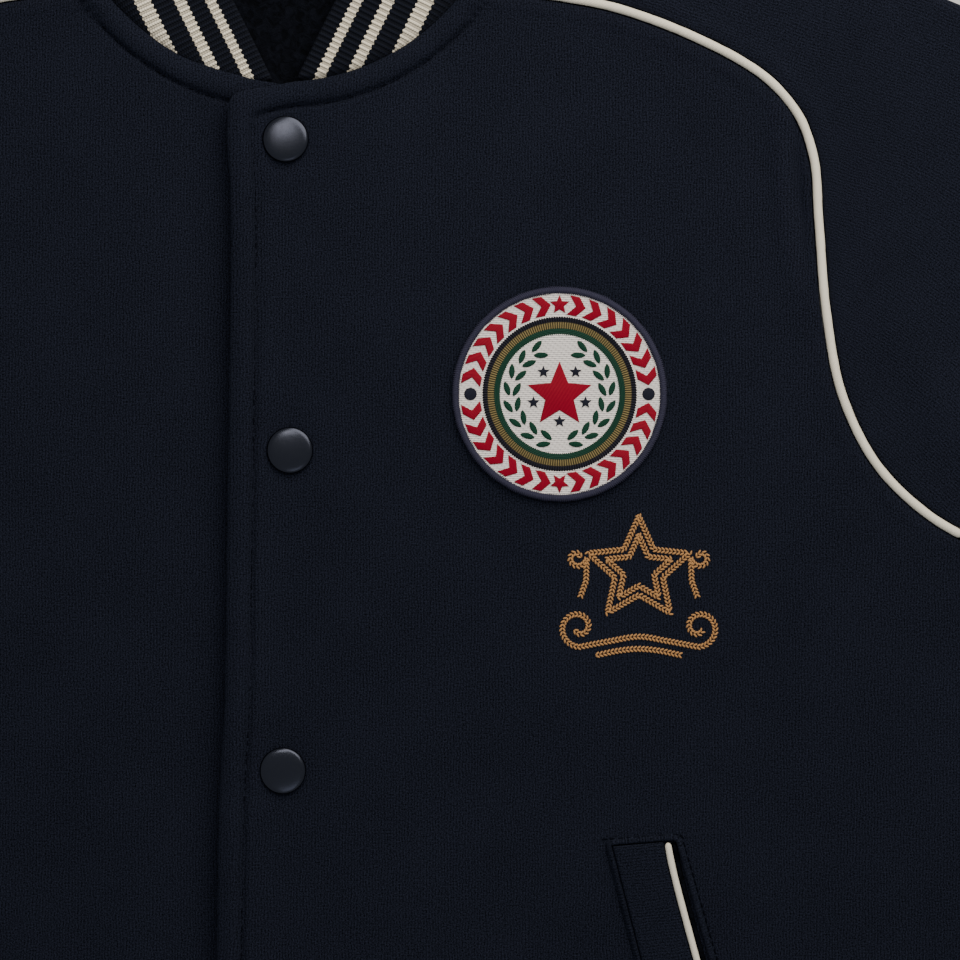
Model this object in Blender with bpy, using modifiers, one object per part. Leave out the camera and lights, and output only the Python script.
"""A child's varsity jacket, age 10 to 11, laid flat on its back with its snaps shut.

The fleece body lies as two layers on the surface it rests on: the back underneath, and the two
fronts on top, the wearer's left over the wearer's right. The layers turn into each other round the
folds of the outline. Every piece of cloth is a wall cut from that one pair of layers, so that the
pieces meet edge to edge at their seams.

Sizes are in millimetres from the neck point of the centre front, X to the wearer's left and Y
towards the collar, until each mesh is made in metres round the middle of the laid jacket.
"""

import math

import bmesh
import bpy
import numpy as np

# Driving dimensions, in millimetres.
MM = 0.001
CLOTH = 2.0  # brushed-back fleece
SEAM_GAP = 0.3  # between two pieces that are sewn together
FOLD_R = 2.9  # radius of the middle of the cloth where the outline folds
MIDDLE_Z = CLOTH / 2 + FOLD_R  # height of the outline's folded edge

FRONT_LENGTH = 462  # neck point to hem at the centre front
WAIST_RIB = 60
WAIST_Y = WAIST_RIB - FRONT_LENGTH
NECK_HALF_WIDTH = 75
NECK_DROP = 78  # shoulder neck point to the front neck point
BACK_NECK_DIP = 18
OVERLAP = 18  # the closed fronts pass the centre line by this much
FRONT_LIFT = 1.1  # the upper front near its edge, over two more layers
UNDER_DIP = 1.9  # the under front where the upper one covers it
LAYER_SAG = 1.3  # the upper layer away from the folds

UNDER_DIP_X = (-36, -21)  # where the under front goes down below the upper one
FRONT_LIFT_X = (-78, -18)  # where the upper front comes up, on either side

RIDGE_WIDTH = 7.8  # topstitched edge round the fronts and the neck
RIDGE_RISE = 1.0
GROOVE_DEPTH = 0.3  # along the topstitching
GROOVE_WIDTH = 0.9
FLAP_DROP = 4.4  # the upper front's corner lies this much below the neck point
FLAP_CORNER = 4.5  # radius of that corner
RIB_PITCH = 2.1  # collar rib, measured along its free edge
BAND_RIB_PITCH = 2.6  # waist and cuff rib
RIB_RISE = 0.7
COLLAR_REST = 0.8  # the collar's free edge lies this much lower than its seam

PIPING_D = 2.9
PIPING_PROUD = 0.45  # its middle above the middle of the cloth
PIPING_START = 2.2
PIPING_END = 9.0
PIPING_GAP = PIPING_D / 2 + SEAM_GAP  # from the middle of the seam to either piece
NECK_GAP = 0.35

LAID_ON = 0.35  # a piece sewn on a panel lies this far off it
WELT_TOP = (107.1, -249.1)  # the upper inner corner of the pocket's welt
WELT_LENGTH = 132.0
WELT_SLOPE = 0.2568  # its inner edge goes outwards by this share of the way down
WELT_TOP_RISE = 1.7  # its outer corner is this much higher
WELT_CLOTH = 1.6
WELT_CROWN = 0.5
POCKET_PIPING_D = 2.2
POCKET_PIPING_X = 126.1  # the cord's outer side, level with the top corner
POCKET_PIPING_SLOPE = 0.2773
POCKET_PIPING_HOOK = (1.165, 8.0)  # its top end turns outwards by this much over this length
POCKET_PIPING_END = 0.3  # the cord stops this far inside the welt's ends

PATCH_PLACE = (89.8, -101.7)
PATCH_RINGS = ((31.0, 0.0), (32.4, 0.35), (34.0, 0.35), (35.0, -0.3))  # radius, rise
PATCH_CLOTH = 1.1
SNAP_PLACES = ((0.6, -18.7), (2.0, -120.0), (-0.3, -224.3), (-0.6, -328.0), (-1.0, -431.5))
# The cap's profile, from the middle of its top to the middle of its foot: radius, height.
SNAP_PROFILE = (
    (0.0, 2.1), (3.6, 2.0), (5.8, 1.8), (6.9, 1.25), (7.5, 0.6), (7.2, 0.1), (0.0, 0.0),
)  # fmt: skip

# The collar's free edge on the wearer's left, from the centre front to its side fold.
COLLAR_EDGE = ((4.1, 1.5), (11.2, 16.0), (18.7, 31.0), (32.2, 60.0), (41.0, 84.0), (45.0, 107.0))
COLLAR_BACK_Y = 102  # its free edge at the centre back
SHOULDER_NECK = (NECK_HALF_WIDTH, NECK_DROP)
SHOULDER_FOLD = ((120, 61.6), (170, 43.4), (215, 27.0), (243, 14.5), (270, -3.0), (322.7, -48.0))

# One row for each section of the sleeve: middle x, y, heading below the horizontal, flat width.
SLEEVE_SECTIONS = (
    # x, y, heading, width
    (318.1, -135.3, 42, 136),  # bicep
    (368.4, -182.9, 47, 127),  # elbow
    (418.8, -238.0, 52, 115),  # forearm
    (452.2, -270.3, 52, 106),  # fullness above the cuff
    (468.0, -290.4, 52, 80.2),  # wrist seam
)
CUFF_SECTIONS = (
    (468.3, -290.8, 52, 80),
    (502.2, -334.1, 52, 77),
)
CUFF_PAST_END = 14  # the fold lines run on past the open ends

# The rounded corner where the sleeve's lower fold meets the side of the body.
CROTCH = (235.0, -155.5)
CROTCH_R = 7.0
CROTCH_SEAM_ANGLE = 150
CROTCH_SLEEVE_ANGLE = 43

# Half the body's flat width, one row for each level.
BODY_SIDE = (
    # y, half width
    (-155.5, 228.0),
    (-205.0, 228.5),
    (-265.0, 228.5),
    (-330.0, 227.0),
    (-372.0, 224.0),
    (-392.0, 216.5),
    (-402.0, 208.5),
    (-406.0, 207.0),
    (-462.0, 204.0),
)

# The upper front's free edge, left of the centre line, one row for each level.
FRONT_EDGE = (
    # y, x
    (0.0, -17.6),
    (-18.0, -18.6),
    (-34.0, -17.3),
    (-52.0, -17.0),
    (-169.0, -18.6),
    (-200.0, -19.0),
    (-237.0, -21.0),
    (-286.0, -21.8),
    (-402.0, -22.0),
    (-462.0, -22.0),
)

# The seam between a front and its sleeve, from the neck over the shoulder to the underarm.
FRONT_SEAM = (
    (60.2, 31.6), (76.0, 29.8), (92.0, 27.6), (105.6, 25.0), (121.3, 20.0), (136.9, 13.4),
    (148.7, 7.3), (156.5, 2.1), (162.4, -3.5), (167.9, -10.6), (172.5, -23.0), (174.5, -45.0),
    (177.0, -75.0), (182.5, -103.0), (194.0, -125.5), (210.0, -141.0), (228.94, -152.0),
)  # fmt: skip
# The same seam on the back.
BACK_SEAM = (
    (57.0, 70.4), (85.0, 58.0), (115.0, 42.0), (141.0, 22.0), (158.0, -2.0), (168.5, -31.0),
    (174.0, -62.0), (181.0, -98.0), (194.0, -123.0), (210.0, -139.5), (228.94, -152.0),
)  # fmt: skip
FRONT_SEAM_CORNER = (167.9, -10.6)
BACK_SEAM_CORNER = (158.0, -2.0)

# The largest soft folds of the upper layer, one row each.
CREASES = (
    # x, y, angle, length, width, rise
    (214, -104, 116, 92, 9, 2.0),
    (236, -112, 98, 86, 8, 2.4),
    (262, -124, 74, 84, 9, 1.9),
    (226, -96, 107, 70, 5, -1.1),
    (250, -112, 86, 72, 5, -1.1),
    (352, -196, 60, 74, 8, 1.8),
    (372, -206, 68, 60, 7, 1.5),
    (392, -214, 44, 66, 8, 1.6),
    (330, -92, -30, 96, 14, 1.2),
    (430, -262, -44, 52, 6, 1.3),
    (448, -246, -58, 48, 6, 1.2),
    (-210, -108, 62, 98, 9, 2.1),
    (-240, -110, 84, 80, 8, 2.2),
    (-266, -128, 108, 88, 9, 2.0),
    (-229, -98, 74, 72, 5, -1.1),
    (-346, -190, 122, 80, 8, 1.9),
    (-378, -212, 112, 62, 7, 1.5),
    (-402, -220, 138, 70, 8, 1.5),
    (-334, -96, -148, 90, 14, 1.2),
    (-432, -258, -134, 50, 6, 1.3),
    (-450, -250, -122, 46, 6, 1.2),
    (196, -286, 84, 120, 12, 1.0),
    (-200, -270, 97, 130, 12, 1.1),
)
# Puckers that rise out of the waist seam: x, length, rise.
WAIST_PUCKERS = (
    (-184, 44, 1.0), (-158, 62, 1.2), (-131, 36, 0.8), (-101, 52, 1.1), (-74, 40, 0.9),
    (-46, 48, 0.8), (30, 34, 0.7), (55, 50, 1.0), (83, 38, 0.9), (112, 56, 1.1),
    (140, 42, 1.0), (166, 60, 1.2), (189, 38, 0.9),
)  # fmt: skip
PUCKER_WIDTH = 6.5

# Where the pieces have their points: distances from the neck seam, then shares of the way along the
# sleeve seam to its corner, from there to the underarm, and along the arm to the wrist.
RIDGE_STATIONS = (0, 2.0, 5.0, RIDGE_WIDTH + 0.4, 11.0)
SADDLE_SHARES = (0.3, 0.5, 0.68, 0.82, 0.92, 1.0)
ARMHOLE_SHARES = (0.15, 0.32, 0.5, 0.66, 0.8, 0.91, 1.0)
SLEEVE_SHARES = (0.06, 0.15, 0.26, 0.38, 0.5, 0.63, 0.76, 0.87, 0.94, 1.0)
CORNER_ROW = len(RIDGE_STATIONS) + len(SADDLE_SHARES) - 1

COLOURS = {
    # name: (red, green, blue, roughness, metallic)
    "navy_fleece": (0.012, 0.016, 0.028, 0.9, 0.0),
    "striped_rib": (0.02, 0.025, 0.04, 0.85, 0.0),
    "cream_piping": (0.72, 0.66, 0.52, 0.6, 0.0),
    "enamelled_snap": (0.03, 0.036, 0.05, 0.35, 0.6),
    "embroidered_twill": (0.6, 0.56, 0.47, 0.8, 0.0),
}


# Plan lines.


def evenly(line, step):
    """The same line with points at even distances."""
    line = np.asarray(line, float)
    along = lengths(line)
    count = max(2, math.ceil(along[-1] / step) + 1)
    return at(line, np.linspace(0, along[-1], count))


def lengths(line):
    return np.concatenate([[0], np.cumsum(np.linalg.norm(np.diff(line, axis=0), axis=1))])


def at(line, distance):
    """The points at these distances along a line."""
    along = lengths(line)
    return np.stack([np.interp(distance, along, line[:, k]) for k in (0, 1)], axis=-1)


def rounded(knots, step=2.0):
    """A smooth line through the knots."""
    knots = np.asarray(knots, float)
    gap = np.linalg.norm(np.diff(knots, axis=0), axis=1)[:, None]
    slope = np.diff(knots, axis=0) / gap
    inner = (slope[:-1] * gap[1:] + slope[1:] * gap[:-1]) / (gap[:-1] + gap[1:])
    tangent = np.vstack([slope[:1], inner, slope[-1:]])
    t = np.linspace(0, 1, 24, endpoint=False)[:, None]
    parts = []
    for i, h in enumerate(gap):
        start, end = knots[i], knots[i + 1]
        bend = (t**3 - 2 * t**2 + t) * tangent[i] * h + (t**3 - t**2) * tangent[i + 1] * h
        parts.append((2 * t**3 - 3 * t**2 + 1) * start + (3 * t**2 - 2 * t**3) * end + bend)
    return evenly(np.vstack([*parts, knots[-1:]]), step)


def sideways(line):
    """Unit vectors to the left of a line, seen along it."""
    ahead = np.gradient(line, axis=0)
    ahead /= np.linalg.norm(ahead, axis=1)[:, None]
    return np.stack([-ahead[:, 1], ahead[:, 0]], axis=1)


def smooth(low, high, value):
    t = np.clip((value - low) / (high - low), 0, 1)
    return t * t * (3 - 2 * t)


def section_ends(section):
    """The overarm and underarm ends of a section across the sleeve."""
    x, y, heading, width = section
    turn = math.radians(heading)
    across = np.array([math.sin(turn), math.cos(turn)]) * width / 2
    return np.array([x, y]) + across, np.array([x, y]) - across


def crotch_arc(first, last, count):
    turn = np.radians(np.linspace(first, last, count))
    arc = np.stack([np.cos(turn), np.sin(turn)], axis=1)
    return np.array(CROTCH) + CROTCH_R * arc


def past_end(line, by):
    """The line with one more point straight on past its last."""
    ahead = line[-1] - line[-2]
    return np.vstack([line, line[-1] + ahead / np.linalg.norm(ahead) * by])


ARM_ENDS = [section_ends(section) for section in SLEEVE_SECTIONS]
CUFF_ENDS = [section_ends(section) for section in CUFF_SECTIONS]
OVERARM = rounded([SHOULDER_NECK, *SHOULDER_FOLD, *[outer for outer, _ in ARM_ENDS]])
UNDERARM = np.vstack([
    crotch_arc(CROTCH_SEAM_ANGLE, CROTCH_SLEEVE_ANGLE, 16)[:-1],
    rounded([crotch_arc(CROTCH_SLEEVE_ANGLE, 0, 2)[0], *[inner for _, inner in ARM_ENDS]]),
])
SIDE = np.vstack([
    crotch_arc(CROTCH_SEAM_ANGLE, 180, 6)[:-1],
    rounded([(width, level) for level, width in BODY_SIDE[:-1]]),
    [BODY_SIDE[-1][::-1]],
])
CUFF_OUTER = np.array([outer for outer, _ in CUFF_ENDS])
CUFF_INNER = np.array([inner for _, inner in CUFF_ENDS])
COLLAR_FOLD = np.array([COLLAR_EDGE[-1], SHOULDER_NECK], float)

OUTER_FOLD = np.vstack([
    past_end(COLLAR_FOLD[::-1], CUFF_PAST_END)[::-1][:-1],
    OVERARM,
    past_end(CUFF_OUTER, CUFF_PAST_END),
])
INNER_FOLD = np.vstack([
    past_end(CUFF_INNER, CUFF_PAST_END)[::-1],
    UNDERARM[::-1],
    past_end(SIDE[1:], CUFF_PAST_END),
])


# The two layers.


def nearest_fold(plan):
    """How far each plan point is inside the outline's folds, and the way out to them."""
    side = np.where(plan[:, 0] < 0, -1.0, 1.0)
    points = np.stack([np.abs(plan[:, 0]), plan[:, 1]], axis=1)
    best = np.full(len(points), np.inf)
    out = np.zeros_like(points)
    for fold in (OUTER_FOLD, INNER_FOLD):
        start, step = fold[:-1], np.diff(fold, axis=0)
        square = (step**2).sum(axis=1)
        left = np.stack([-step[:, 1], step[:, 0]], axis=1) / np.sqrt(square)[:, None]
        share = ((points[:, None] - start) * step).sum(axis=2) / square
        foot = start + np.clip(share, 0, 1)[:, :, None] * step
        distance = np.linalg.norm(points[:, None] - foot, axis=2)
        index = distance.argmin(axis=1)
        row = np.arange(len(points))
        found = distance[row, index]
        toward = foot[row, index] - points
        clear = found > 1e-3
        toward[clear] /= found[clear, None]
        toward[~clear] = left[index[~clear]]
        closer = found < best
        best[closer] = found[closer]
        out[closer] = toward[closer]
    out[:, 0] *= side
    return best, out


def crease(plan):
    """The height that the folds and the waist puckers give the upper layer."""
    height = np.zeros(len(plan))
    for x, y, angle, length, width, rise in CREASES:
        turn = math.radians(angle)
        dx, dy = plan[:, 0] - x, plan[:, 1] - y
        along = dx * math.cos(turn) + dy * math.sin(turn)
        across = dy * math.cos(turn) - dx * math.sin(turn)
        ends = np.cos(np.clip(along / length, -0.5, 0.5) * math.pi) ** 2
        height += rise * ends * np.exp(-((across / width) ** 2))
    for x, length, rise in WAIST_PUCKERS:
        above = np.clip((plan[:, 1] - WAIST_Y) / length, 0, 1)
        across = np.exp(-(((plan[:, 0] - x) / PUCKER_WIDTH) ** 2))
        height += rise * across * (1 - above) ** 2 * smooth(-8, 4, plan[:, 1] - WAIST_Y)
    return height


def swell(plan, layer):
    """How far the upper layer departs from a flat one."""
    x = plan[:, 0]
    inside = nearest_fold(plan)[0]
    height = -LAYER_SAG * smooth(12, 80, inside) + crease(plan) * smooth(3, 16, inside)
    if layer == "under":
        height -= UNDER_DIP * smooth(*UNDER_DIP_X, x)
    else:
        height += FRONT_LIFT * smooth(*FRONT_LIFT_X, -x)
    return height


def lay(plan, layer):
    """Points and unit normals of the middle of the cloth, over plan points."""
    plan = np.asarray(plan, float)
    shape = plan.shape[:-1]
    plan = plan.reshape(-1, 2)
    inside, out = nearest_fold(plan)
    lean = 1 - np.clip(inside / FOLD_R, 0, 1)
    rise = np.sqrt(1 - lean**2)
    half = SEAM_GAP / 2
    if layer == "back":
        z = MIDDLE_Z - half - (FOLD_R - half) * rise
        normal = np.column_stack([out * lean[:, None], -rise])
    else:
        height = swell(plan, layer)
        step = 0.5
        slope = np.stack([
            (swell(plan + [step, 0], layer) - swell(plan - [step, 0], layer)) / (2 * step),
            (swell(plan + [0, step], layer) - swell(plan - [0, step], layer)) / (2 * step),
        ], axis=1)
        z = MIDDLE_Z + half + (FOLD_R - half) * rise + height
        normal = np.column_stack([out * lean[:, None] - slope * rise[:, None], rise])
    normal /= np.linalg.norm(normal, axis=1)[:, None]
    points = np.column_stack([plan, z])
    return points.reshape(*shape, 3), normal.reshape(*shape, 3)


def neck_distance(plan):
    """How far a plan point is outside the front neck seam."""
    from_middle = np.hypot(plan[..., 0] / NECK_HALF_WIDTH, (plan[..., 1] - NECK_DROP) / NECK_DROP)
    return (from_middle - 1) * (NECK_HALF_WIDTH + NECK_DROP) / 2


def ridge(distance):
    """The rise of the puffed, topstitched edge at a distance from the edge."""
    share = np.clip(distance / RIDGE_WIDTH, 0, 1)
    bulge = RIDGE_RISE * np.sin(math.pi * share**0.8)
    groove = GROOVE_DEPTH * np.exp(-(((distance - RIDGE_WIDTH) / GROOVE_WIDTH) ** 2))
    return np.where(distance < RIDGE_WIDTH, bulge, 0) - groove


# Meshes.


def material(name):
    found = bpy.data.materials.get(name)
    if found:
        return found
    red, green, blue, roughness, metallic = COLOURS[name]
    made = bpy.data.materials.new(name)
    made.use_nodes = True
    shader = made.node_tree.nodes["Principled BSDF"]
    shader.inputs["Base Color"].default_value = (red, green, blue, 1)
    shader.inputs["Roughness"].default_value = roughness
    shader.inputs["Metallic"].default_value = metallic
    made.diffuse_color = (red, green, blue, 1)
    return made


def add_object(name, data, finish, collection):
    obj = bpy.data.objects.new(name, data)
    collection.objects.link(obj)
    data.materials.append(material(finish))
    return obj


def wall(name, points, normals, finish, collection, relief=0.0, thickness=CLOTH, joined_from=None):
    """A closed wall of cloth round a grid of points. The relief raises its outer side alone.

    From row joined_from on, the grid's last column is its first again, as on a tube.
    """
    rows, columns = points.shape[:2]
    index = np.arange(rows * columns).reshape(rows, columns)
    if joined_from is not None:
        index[joined_from:, -1] = index[joined_from:, 0]
    faces = np.stack([index[:-1, :-1], index[:-1, 1:], index[1:, 1:], index[1:, :-1]], axis=-1)
    faces = faces.reshape(-1, 4)
    edges = {}
    for face in faces:
        for a, b in zip(face, np.roll(face, -1)):
            edges[(a, b)] = edges.get((a, b), 0) + 1
    rim = [(a, b) for a, b in edges if (b, a) not in edges and a != b]
    raised = (thickness / 2 + np.broadcast_to(relief, (rows, columns)))[..., None]
    outer = (points + normals * raised).reshape(-1, 3)
    inner = (points - normals * thickness / 2).reshape(-1, 3)
    count = rows * columns
    mesh_faces = [tuple(face) for face in faces]
    mesh_faces += [tuple(face[::-1] + count) for face in faces]
    mesh_faces += [(b, a, a + count, b + count) for a, b in rim]
    mesh = bpy.data.meshes.new(name)
    build = bmesh.new()
    corners = [build.verts.new(place * MM) for place in np.vstack([outer, inner])]
    for face in mesh_faces:
        different = list(dict.fromkeys(face))
        build.faces.new([corners[i] for i in different])
    loose = [corner for corner in build.verts if not corner.link_faces]
    bmesh.ops.delete(build, geom=loose, context="VERTS")
    if build.calc_volume(signed=True) < 0:
        bmesh.ops.reverse_faces(build, faces=build.faces)
    build.to_mesh(mesh)
    build.free()
    mesh.shade_smooth()
    mesh.set_sharp_from_angle(angle=math.radians(50))
    return add_object(name, mesh, finish, collection)


def tube(name, points, diameter, finish, collection):
    """A round cord through the points, with closed ends."""
    curve = bpy.data.curves.new(name, "CURVE")
    curve.dimensions = "3D"
    curve.bevel_depth = diameter / 2 * MM
    curve.bevel_resolution = 2
    curve.use_fill_caps = True
    line = curve.splines.new("POLY")
    line.points.add(len(points) - 1)
    for point, place in zip(line.points, points):
        point.co = (*(place * MM), 1)
    line.use_smooth = True
    return add_object(name, curve, finish, collection)


# Plan grids.


def rolled(steps=3, width=FOLD_R):
    """Distances from an edge that step evenly round the fold there."""
    return width * (1 - np.cos(np.linspace(0, math.pi / 2, steps + 1)))


def neck_line(x):
    """The front neck seam's level over x."""
    share = np.clip(np.abs(x) / NECK_HALF_WIDTH, 0, 1)
    return NECK_DROP * (1 - np.sqrt(1 - share**2))


def back_neck_line(x):
    dip = 1 - (np.abs(x) / NECK_HALF_WIDTH) ** 2
    return NECK_DROP - BACK_NECK_DIP * np.clip(dip, 0, 1)


def below_back_neck(plan):
    return back_neck_line(plan[..., 0]) - plan[..., 1]


def seam_stations(line, corner):
    """Distances along a sleeve seam where the pieces on both its sides have their points."""
    total = lengths(line)[-1]
    bend = lengths(line)[split_at(line, corner)]
    saddle = bend * np.array(SADDLE_SHARES)
    armhole = bend + (total - bend) * np.array(ARMHOLE_SHARES)
    return np.concatenate([RIDGE_STATIONS, saddle, armhole])


def seam_edges(knots, corner, gap, neck):
    """The body's edge and the sleeve's edge of a sleeve seam, and its middle, station by station.

    The edges are parted by the same gap on the front and the back where they reach the underarm.
    """
    line = rounded(knots)
    line = np.vstack([2 * line[0] - line[4], line])
    line = evenly(line, 0.5)
    start = np.linalg.norm(line - knots[0], axis=1).argmin()
    stations = seam_stations(line[start:], corner) + lengths(line)[start]
    left_over = lengths(line)[-1] - lengths(line)
    part = gap + (PIPING_GAP - gap) * (1 - smooth(0, 16, left_over))
    across = sideways(line) * part[:, None]
    edges = []
    for edge, end in ((line - across, at(SIDE, PIPING_GAP)), (line + across, at(UNDERARM, PIPING_GAP))):
        first = int((neck(edge) > NECK_GAP).argmax())
        points = np.stack([np.interp(stations, lengths(line), edge[:, k]) for k in (0, 1)], axis=1)
        points[0] = edge[first]
        points[-1] = end
        edges.append(points)
    return edges[0], edges[1], at(line, stations)


def split_at(line, place):
    return int(np.linalg.norm(line - np.array(place), axis=1).argmin())


FRONT_BODY_EDGE, FRONT_SLEEVE_EDGE, FRONT_CORD = seam_edges(
    FRONT_SEAM, FRONT_SEAM_CORNER, PIPING_GAP, neck_distance
)
BACK_BODY_EDGE, BACK_SLEEVE_EDGE, _ = seam_edges(
    BACK_SEAM, BACK_SEAM_CORNER, SEAM_GAP / 2, below_back_neck
)


def panel_plan(top_x, top_y, body_edge, low_rows, from_top, left, from_left, from_right):
    """A panel's plan grid: its columns run from the waist to its upper edge, and its rows from its
    left edge to the armhole and the side fold."""
    waist = WAIST_Y + SEAM_GAP / 2
    side = SIDE[lengths(SIDE) > PIPING_GAP + 0.5]
    right = np.vstack([body_edge[CORNER_ROW:], side])[::-1]
    rows = np.concatenate([[waist], low_rows, body_edge[:CORNER_ROW:-1, 1]])
    share = (rows - waist) / (right[-1, 1] - waist)
    plan = np.zeros((len(rows) + len(from_top), len(top_x), 2))
    for k, top in enumerate(top_y):
        plan[:, k, 1] = np.concatenate([waist + share * (top - waist), top - from_top])
    inner = top_x[len(from_left) : -len(from_right)]
    start, end = top_x[len(from_left) - 1], top_x[-len(from_right)]
    inner_share = (inner - start) / (end - start)
    for j in range(len(plan)):
        first = left(plan[j, 0, 1])
        last = np.interp(plan[j, -1, 1], right[:, 1], right[:, 0])
        near, far = first + from_left[-1], last - from_right[0]
        middle = near + inner_share * (far - near)
        plan[j, :, 0] = np.concatenate([first + from_left, middle, last - from_right])
    plan[-1, :, 0] = top_x
    plan[: len(rows), -len(from_right) :, 1] = rows[:, None]
    return plan


def front_plan(edge):
    """The grid of a front over its plan, on the wearer's left."""
    table = np.array(edge[::-1])

    def left(y):
        return np.interp(y, table[:, 0], table[:, 1])

    from_left = np.array([0.0, 1.6, 4.2, RIDGE_WIDTH, RIDGE_WIDTH + 1.6])
    from_right = rolled()[::-1]
    start = left(0)
    saddle = FRONT_BODY_EDGE[[0, 4, *range(5, CORNER_ROW + 1)]]
    neck_x = np.array([4.0, 14.0, 25.0, 36.0, 46.0, 53.0])
    corner_x = FRONT_BODY_EDGE[CORNER_ROW, 0]
    top_x = np.concatenate([start + from_left, neck_x, saddle[:-1, 0], corner_x - from_right])
    flap = neck_line(np.clip(top_x, 4.0, None)) - NECK_GAP
    flap -= FLAP_DROP * np.clip((4.0 - top_x) / (4.0 - start), 0, 1)
    corner = np.clip((top_x - start) / FLAP_CORNER, 0, 1)
    flap -= FLAP_CORNER * (1 - np.sqrt(corner * (2 - corner)))
    top_y = np.where(top_x < saddle[0, 0], flap, np.interp(top_x, saddle[:, 0], saddle[:, 1]))
    low_rows = (-393, -372, -332, -285, -240, -205, -178, -162)
    from_top = np.array(RIDGE_STATIONS)[::-1]
    return panel_plan(top_x, top_y, FRONT_BODY_EDGE, low_rows, from_top, left, from_left, from_right)


def mirrored(plan):
    return plan * [-1, 1]


def make_fronts(collection):
    """The wearer's left front lies over the right one, and its free edge shows."""
    plan = front_plan(FRONT_EDGE)
    points, normals = lay(plan, "upper")
    from_edge = plan[..., 0] - plan[:, :1, 0]
    from_top = plan[-1:, :, 1] - plan[..., 1]
    from_neck = np.where(plan[..., 0] < 4, from_top, neck_distance(plan))
    relief = np.maximum(ridge(from_neck), ridge(from_edge))
    wall("front_left", points, normals, "navy_fleece", collection, relief)
    plan = front_plan([(y, -OVERLAP) for y, _ in FRONT_EDGE])
    relief = ridge(neck_distance(plan)) * smooth(16, 28, plan[..., 0])
    points, normals = lay(mirrored(plan), "under")
    wall("front_right", points, normals, "navy_fleece", collection, relief)


def make_back(collection):
    saddle = BACK_BODY_EDGE[[0, *range(5, CORNER_ROW + 1)]]
    from_right = rolled(2)[::-1]
    corner_x = saddle[-1, 0]
    top_x = np.concatenate([[0.0, 22.0, 42.0], saddle[:-1, 0], corner_x - from_right])
    neck = back_neck_line(top_x) - NECK_GAP
    top_y = np.where(top_x < saddle[0, 0], neck, np.interp(top_x, saddle[:, 0], saddle[:, 1]))
    low_rows = (-392, -365, -280, -200, -165)
    half = panel_plan(
        top_x, top_y, BACK_BODY_EDGE, low_rows, np.zeros(1), lambda y: 0.0, np.zeros(1), from_right
    )
    whole = np.concatenate([mirrored(half[:, :0:-1]), half], axis=1)
    points, normals = lay(whole, "back")
    wall("back", points, normals, "navy_fleece", collection)


def line_across(inner, outer, middle, steps):
    """Plan points from an inner edge to the outer fold, closer where the cloth rolls."""
    width = np.linalg.norm(outer - inner)
    roll = rolled(steps, FOLD_R * 1.05) / width
    spread = np.linspace(roll[-1], 1 - roll[-1], middle + 1)[1:-1]
    share = np.concatenate([roll, spread, 1 - roll[::-1]])
    return inner + share[:, None] * (outer - inner)


def bowed(line, amount):
    """A line across the strap bowed outwards to run along the neck seam."""
    centre = np.array([0.0, NECK_DROP])
    scale = np.array([NECK_HALF_WIDTH, NECK_DROP]) + neck_distance(line[0])
    turn = np.arctan2(*((line - centre) / scale).T[::-1])
    arc = centre + scale * np.stack([np.cos(turn), np.sin(turn)], axis=1)
    arc[-1] = line[-1]
    return line + amount * (arc - line)


def sleeve_plan():
    """Plan lines across a sleeve's two layers, and how many of them the armhole leaves open."""
    arm_start = split_at(OVERARM, SHOULDER_FOLD[-1])
    overarm = lengths(OVERARM)
    open_rows = len(FRONT_SLEEVE_EDGE)
    ahead = lengths(FRONT_CORD) / lengths(FRONT_CORD)[-1]
    outer = at(OVERARM, ahead * overarm[arm_start])
    share = np.array(SLEEVE_SHARES)
    inner = at(UNDERARM, PIPING_GAP + share * (lengths(UNDERARM)[-1] - PIPING_GAP - SEAM_GAP / 2))
    rest = overarm[-1] - overarm[arm_start] - SEAM_GAP / 2
    outer = np.vstack([outer, at(OVERARM, overarm[arm_start] + share * rest)])
    front = np.vstack([FRONT_SLEEVE_EDGE, inner])
    back = np.vstack([BACK_SLEEVE_EDGE, inner])
    upper, lower = [], []
    for j in range(len(front)):
        line = line_across(front[j], outer[j], 4, 3)
        upper.append(bowed(line, np.interp(j, (4, 7), (1, 0))))
        lower.append(line_across(back[j], outer[j], 2, 2)[::-1])
    x = lower[0][1:, 0]
    lower[0][1:, 1] = back_neck_line(x) - NECK_GAP
    return np.array(upper), np.array(lower), open_rows


def make_sleeve(side, layer, sign, collection):
    upper, lower, open_rows = sleeve_plan()
    top, top_normal = lay(upper * [sign, 1], layer)
    bottom, bottom_normal = lay(lower * [sign, 1], "back")
    top[:, -1, 2] = MIDDLE_Z
    top[open_rows - 1 :, 0, 2] = MIDDLE_Z
    bottom[open_rows - 1 :, -1] = top[open_rows - 1 :, 0]
    points = np.concatenate([top, bottom[:, 1:]], axis=1)
    normals = np.concatenate([top_normal, bottom_normal[:, 1:]], axis=1)
    relief = np.zeros(points.shape[:2])
    rows = len(RIDGE_STATIONS)
    relief[:rows, : top.shape[1] - 1] = ridge(neck_distance(upper[:rows, :-1]))
    wall(
        f"sleeve_{side}", points, normals, "navy_fleece", collection, relief,
        joined_from=open_rows - 1,
    )  # fmt: skip


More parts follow.
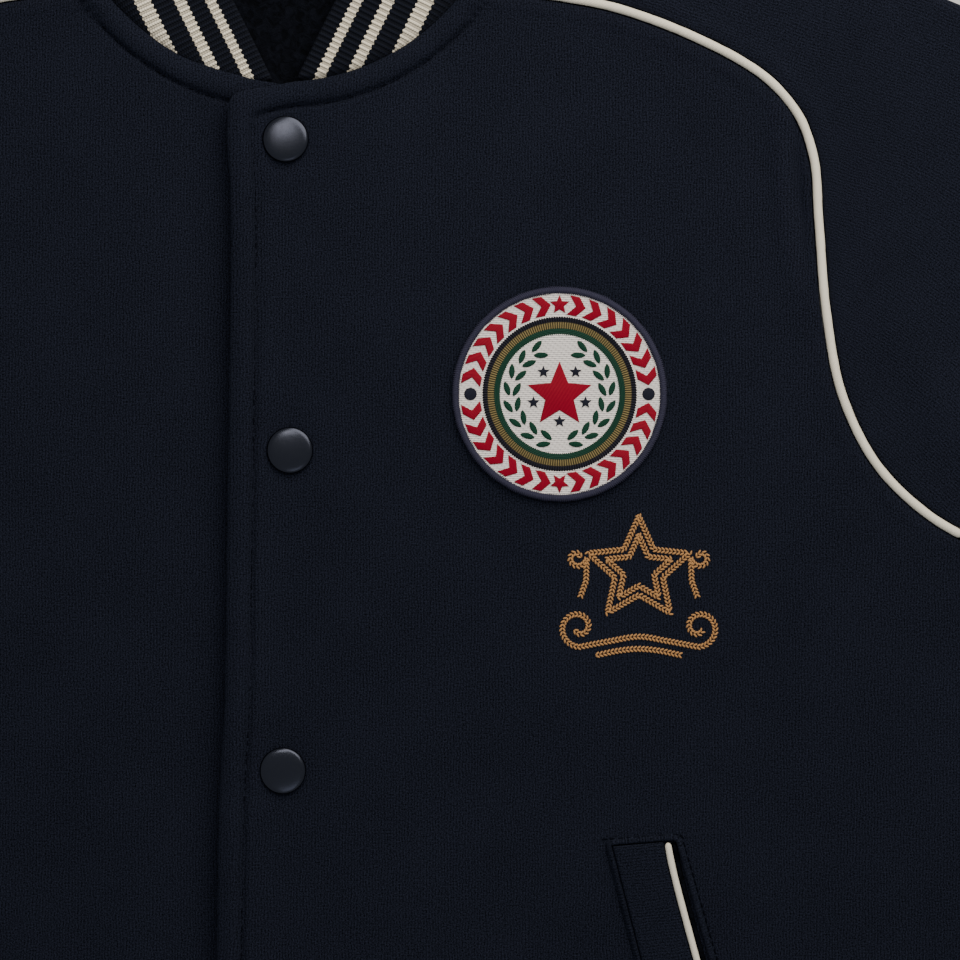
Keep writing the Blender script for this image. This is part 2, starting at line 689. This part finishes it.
def collar_stations():
    """Plan lines across the front of the collar, from the centre front to its side fold."""
    edge = rounded(COLLAR_EDGE, 1.0)
    total = lengths(edge)[-1]
    fold_steps = rolled()[::-1] / 0.8
    along = np.arange(0, total - fold_steps[0] - 1, RIB_PITCH / 2)
    along = np.concatenate([along, total - fold_steps])
    free = at(edge, along)
    ahead = np.gradient(at(edge, along), axis=0)
    ahead /= np.linalg.norm(ahead, axis=1)[:, None]
    across = np.stack([ahead[:, 1], -ahead[:, 0]], axis=1)
    to_fold = np.array(SHOULDER_NECK) - COLLAR_EDGE[-1]
    to_fold = to_fold / np.linalg.norm(to_fold)
    turn = smooth(0.45, 1.0, along / total)[:, None]
    across = across * (1 - turn) + to_fold * turn
    across /= np.linalg.norm(across, axis=1)[:, None]
    radii = np.array([NECK_HALF_WIDTH, NECK_DROP]) - SEAM_GAP / 2
    start = (free - [0, NECK_DROP]) / radii
    way = across / radii
    a, b, c = (way**2).sum(axis=1), (start * way).sum(axis=1), (start**2).sum(axis=1) - 1
    reach = (-b + np.sqrt(np.clip(b * b - a * c, 0, None))) / a
    sewn = free + across * reach[:, None]
    sewn[-1] = np.array(SHOULDER_NECK) - to_fold * SEAM_GAP
    ribs = np.where(np.arange(len(along)) % 2, RIB_RISE, 0.0)
    ribs[-len(fold_steps) - 1 :] = 0
    ribs[0] = 0
    return sewn, free, ribs


def make_collar(collection):
    sewn, free, ribs = collar_stations()
    across = np.array([0.0, 1.0])[:, None]
    half = sewn[:, None] + across * (free - sewn)[:, None]
    back_x = np.concatenate([rolled()[1:] / 0.8 * 0.75, [8, 22, 38, 56]])
    sewn_x = (NECK_HALF_WIDTH - SEAM_GAP) * (1 - back_x / NECK_HALF_WIDTH)
    free_x = COLLAR_EDGE[-1][0] * (1 - back_x / NECK_HALF_WIDTH)
    sewn_back = np.stack([sewn_x, back_neck_line(sewn_x) + SEAM_GAP / 2], axis=1)
    sag = (COLLAR_EDGE[-1][1] - COLLAR_BACK_Y) * (free_x / COLLAR_EDGE[-1][0]) ** 2
    free_back = np.stack([free_x, COLLAR_BACK_Y + sag], axis=1)
    under = sewn_back[:, None] + across * (free_back - sewn_back)[:, None]
    middle = np.array([[0.0, back_neck_line(0.0) + SEAM_GAP / 2], [0.0, COLLAR_BACK_Y]])
    middle = middle[:1] + across * (middle[1:] - middle[:1])
    parts = []
    for sign, layer in ((-1, "under"), (1, "upper")):
        points, normals = lay(half * [sign, 1], layer)
        inside = nearest_fold((half * [sign, 1]).reshape(-1, 2))[0].reshape(half.shape[:2])
        points[..., 2] -= COLLAR_REST * across[:, 0] * smooth(3, 20, inside)
        points[..., 2] = np.maximum(points[..., 2], CLOTH * 1.5 + SEAM_GAP)
        points[-1, :, 2] = MIDDLE_Z
        parts.append((points, normals, ribs[:, None] * np.ones(len(across))))
        points, normals = lay(under * [sign, 1], "back")
        parts.append((points, normals, np.zeros(under.shape[:2])))
    centre, centre_normal = lay(middle[None], "back")
    order = [parts[0], parts[1], (centre, centre_normal, np.zeros((1, len(across))))]
    order += [tuple(grid[::-1] for grid in parts[3]), tuple(grid[::-1] for grid in parts[2])]
    points, normals, relief = (np.concatenate([part[k] for part in order]) for k in range(3))
    wall("collar_rib", points, normals, "striped_rib", collection, relief)


def ribbed(width, pitch=BAND_RIB_PITCH):
    """Shares of a width with a rib top on every other one, and their rises."""
    count = int(width / pitch) * 2
    share = np.linspace(0, 1, count + 1)
    return share, np.where(np.arange(count + 1) % 2, RIB_RISE, 0.0)


def make_waist_rib(collection):
    rows = np.array([WAIST_Y - SEAM_GAP / 2, -FRONT_LENGTH])
    half = BODY_SIDE[-1][1] - FOLD_R
    left = FRONT_EDGE[-1][1]
    upper_share, upper_ribs = ribbed(half - left)
    under_share, under_ribs = ribbed(half + OVERLAP)
    smooth_part = np.zeros(len(rolled()) - 1)
    sections = []
    for y in rows:
        side = np.interp(y, SIDE[::-1, 1], SIDE[::-1, 0])
        upper = left + upper_share * (side - FOLD_R - left)
        upper = np.concatenate([upper, side - rolled()[-2::-1]])
        upper_rise = np.concatenate([upper_ribs, smooth_part])
        flat = np.linspace(side - FOLD_R, -side + FOLD_R, 9)[1:-1]
        under_layer = np.concatenate([side - rolled()[1:], flat, -side + rolled()[:0:-1]])
        under = -side + FOLD_R + under_share * (side - FOLD_R + OVERLAP)
        under = np.concatenate([-side + rolled()[:-1], under])
        under_rise = np.concatenate([smooth_part, under_ribs])
        under_rise[under > left - 6] = 0
        sections.append((upper, upper_rise, under_layer, under, under_rise))
    grids, normals, reliefs = [], [], []
    for part, layer in ((0, "upper"), (2, "back"), (3, "under")):
        plan = np.stack([
            np.stack([section[part], np.full(len(section[part]), y)], axis=1)
            for section, y in zip(sections, rows)
        ])
        points, normal = lay(plan, layer)
        if part == 0:
            points[:, -1, 2] = MIDDLE_Z
        if part == 3:
            points[:, 0, 2] = MIDDLE_Z
        grids.append(points)
        normals.append(normal)
        relief = np.zeros(plan.shape[:2])
        if part != 2:
            relief[:] = sections[0][part + 1]
        reliefs.append(relief)
    wall(
        "waist_rib", np.concatenate(grids, axis=1), np.concatenate(normals, axis=1),
        "striped_rib", collection, np.concatenate(reliefs, axis=1),
    )  # fmt: skip


def make_cuff(side, layer, sign, collection):
    width = np.linalg.norm(CUFF_OUTER[0] - CUFF_INNER[0])
    share, rise = ribbed(width - 2 * FOLD_R)
    roll = rolled()[:-1] / width
    low_roll = rolled(2)[:-1] / width
    inset = FOLD_R / width
    top_share = np.concatenate([roll, inset + share * (1 - 2 * inset), 1 - roll[::-1]])
    top_rise = np.concatenate([np.zeros(len(roll)), rise, np.zeros(len(roll))])
    flat = np.linspace(1 - inset, inset, 4)
    low_share = np.concatenate([1 - low_roll[1:], flat, low_roll[:0:-1]])
    upper, lower = [], []
    for outer, inner in zip(CUFF_OUTER, CUFF_INNER):
        upper.append(inner + top_share[:, None] * (outer - inner))
        lower.append(inner + low_share[:, None] * (outer - inner))
    top, top_normal = lay(np.array(upper) * [sign, 1], layer)
    bottom, bottom_normal = lay(np.array(lower) * [sign, 1], "back")
    top[:, [0, -1], 2] = MIDDLE_Z
    points = np.concatenate([top, bottom, top[:, :1]], axis=1)
    normals = np.concatenate([top_normal, bottom_normal, top_normal[:, :1]], axis=1)
    relief = np.concatenate([top_rise, np.zeros(bottom.shape[1] + 1)])
    wall(
        f"cuff_{side}", points, normals, "striped_rib", collection, relief[None],
        joined_from=0,
    )  # fmt: skip


def make_shoulder_piping(side, layer, sign, collection):
    """The cord sewn into the seam between a front and its sleeve."""
    along = lengths(FRONT_CORD)
    stations = np.concatenate([[PIPING_START], along[2:-1], [along[-1] - PIPING_END]])
    points, normals = lay(at(FRONT_CORD, stations) * [sign, 1], layer)
    points += normals * PIPING_PROUD
    tube(f"shoulder_piping_{side}", points, PIPING_D, "cream_piping", collection)


def welt_plan(drops, shares, inset):
    """Points of the welt: drops down it, and shares of the way to an inset from its outer edge."""
    hook, hook_length = POCKET_PIPING_HOOK
    inner = WELT_TOP[0] + WELT_SLOPE * drops
    outer = POCKET_PIPING_X + POCKET_PIPING_SLOPE * drops - hook * (1 - np.exp(-drops / hook_length))
    width = (outer - inner)[:, None]
    reach = np.asarray(shares) * (width - inset)
    rise = WELT_TOP_RISE * reach / width
    return np.stack([inner[:, None] + reach, WELT_TOP[1] - drops[:, None] + rise], axis=-1)


def make_pocket(side, layer, sign, collection):
    """The welt of a slanted pocket, with the cord along its outer edge."""
    shares = np.linspace(0, 1, 4)
    drops = np.linspace(0, WELT_LENGTH, 13)
    plan = welt_plan(drops, shares, POCKET_PIPING_D + SEAM_GAP)
    points, normals = lay(plan * [sign, 1], layer)
    points += normals * (CLOTH / 2 + LAID_ON + WELT_CLOTH / 2)
    crown = WELT_CROWN * np.sin(math.pi * shares)
    wall(
        f"pocket_welt_{side}", points, normals, "navy_fleece", collection, crown[None],
        thickness=WELT_CLOTH,
    )  # fmt: skip
    drops = np.linspace(POCKET_PIPING_END, WELT_LENGTH - POCKET_PIPING_END, 13)
    line = welt_plan(drops, [1.0], POCKET_PIPING_D / 2)[:, 0]
    points, normals = lay(line * [sign, 1], layer)
    points += normals * (CLOTH / 2 + LAID_ON + POCKET_PIPING_D / 2)
    tube(f"pocket_piping_{side}", points, POCKET_PIPING_D, "cream_piping", collection)


def make_patch(collection):
    """A round embroidered patch with a raised, overlocked rim, laid on the left front."""
    radii, rise = np.array([(0.0, 0.0), *PATCH_RINGS]).T
    turns = np.linspace(0, 2 * math.pi, 33)
    ring = np.stack([np.cos(turns), np.sin(turns)], axis=1)
    plan = np.array(PATCH_PLACE) + radii[1:, None, None] * ring[None]
    points, normals = lay(plan, "upper")
    middle, middle_normal = lay(np.array([[PATCH_PLACE]], float), "upper")
    points = np.concatenate([np.broadcast_to(middle, (1, len(turns), 3)), points])
    normals = np.concatenate([np.broadcast_to(middle_normal, (1, len(turns), 3)), normals])
    points = points + normals * (CLOTH / 2 + LAID_ON + PATCH_CLOTH / 2)
    disc("chest_patch", points, normals, rise, PATCH_CLOTH, "embroidered_twill", collection)


def disc(name, points, normals, rise, thickness, finish, collection):
    """A round plate from rings of points, whose first ring is its middle."""
    build = bmesh.new()
    sides = []
    for way, lift in ((1, rise), (-1, np.zeros(len(rise)))):
        rings = []
        for j in range(len(points)):
            offset = thickness / 2 + lift[j]
            places = (points[j] + normals[j] * offset * way) * MM
            unique = places[:1] if j == 0 else places[:-1]
            rings.append([build.verts.new(place) for place in unique])
        sides.append(rings)
        count = len(rings[1])
        for k in range(count):
            face = [rings[0][0], rings[1][k], rings[1][(k + 1) % count]]
            build.faces.new(face[::way])
        for inner, outer in zip(rings[1:], rings[2:]):
            for k in range(count):
                n = (k + 1) % count
                build.faces.new([inner[k], outer[k], outer[n], inner[n]][::way])
    top, bottom = sides[0][-1], sides[1][-1]
    for k in range(len(top)):
        n = (k + 1) % len(top)
        build.faces.new([top[n], top[k], bottom[k], bottom[n]])
    if build.calc_volume(signed=True) < 0:
        bmesh.ops.reverse_faces(build, faces=build.faces)
    mesh = bpy.data.meshes.new(name)
    build.to_mesh(mesh)
    build.free()
    mesh.shade_smooth()
    mesh.set_sharp_from_angle(angle=math.radians(50))
    return add_object(name, mesh, finish, collection)


def make_snap(number, place, collection):
    """A snap's cap: a shallow dome in a rolled rim, turned about its own axis."""
    points, normals = lay(np.array([place], float), "upper")
    foot = points[0] + normals[0] * (CLOTH / 2 + SEAM_GAP + RIB_RISE * (number == len(SNAP_PLACES)))
    mesh = bpy.data.meshes.new(f"snap_{number}")
    places = [(x * MM, 0, z * MM) for x, z in SNAP_PROFILE]
    mesh.from_pydata(places, [(k, k + 1) for k in range(len(places) - 1)], [])
    snap = add_object(f"snap_{number}", mesh, "enamelled_snap", collection)
    snap.location = foot * MM
    turn = snap.modifiers.new("turned", "SCREW")
    turn.axis = "Z"
    turn.steps = turn.render_steps = 20
    turn.use_merge_vertices = True
    turn.merge_threshold = 0.00001
    turn.use_smooth_shade = True
    return snap


def centre_on_origin(collection):
    """Moves everything so that the middle of the laid jacket's underside is at the origin."""
    cloth = [obj for obj in collection.objects if obj.type == "MESH" and not obj.modifiers]
    corners = np.array([corner for obj in cloth for corner in obj.bound_box])
    low, high = corners.min(axis=0), corners.max(axis=0)
    for obj in collection.objects:
        obj.location.x -= (low[0] + high[0]) / 2
        obj.location.y -= (low[1] + high[1]) / 2
        obj.location.z -= low[2]


def main():
    for obj in list(bpy.data.objects):
        bpy.data.objects.remove(obj)
    jacket = bpy.data.collections.new("varsity_jacket")
    bpy.context.scene.collection.children.link(jacket)
    make_back(jacket)
    make_fronts(jacket)
    make_collar(jacket)
    make_waist_rib(jacket)
    for side, layer, sign in (("left", "upper", 1), ("right", "under", -1)):
        make_sleeve(side, layer, sign, jacket)
        make_cuff(side, layer, sign, jacket)
        make_shoulder_piping(side, layer, sign, jacket)
        make_pocket(side, layer, sign, jacket)
    make_patch(jacket)
    for number, place in enumerate(SNAP_PLACES, 1):
        make_snap(number, place, jacket)
    centre_on_origin(jacket)


main()
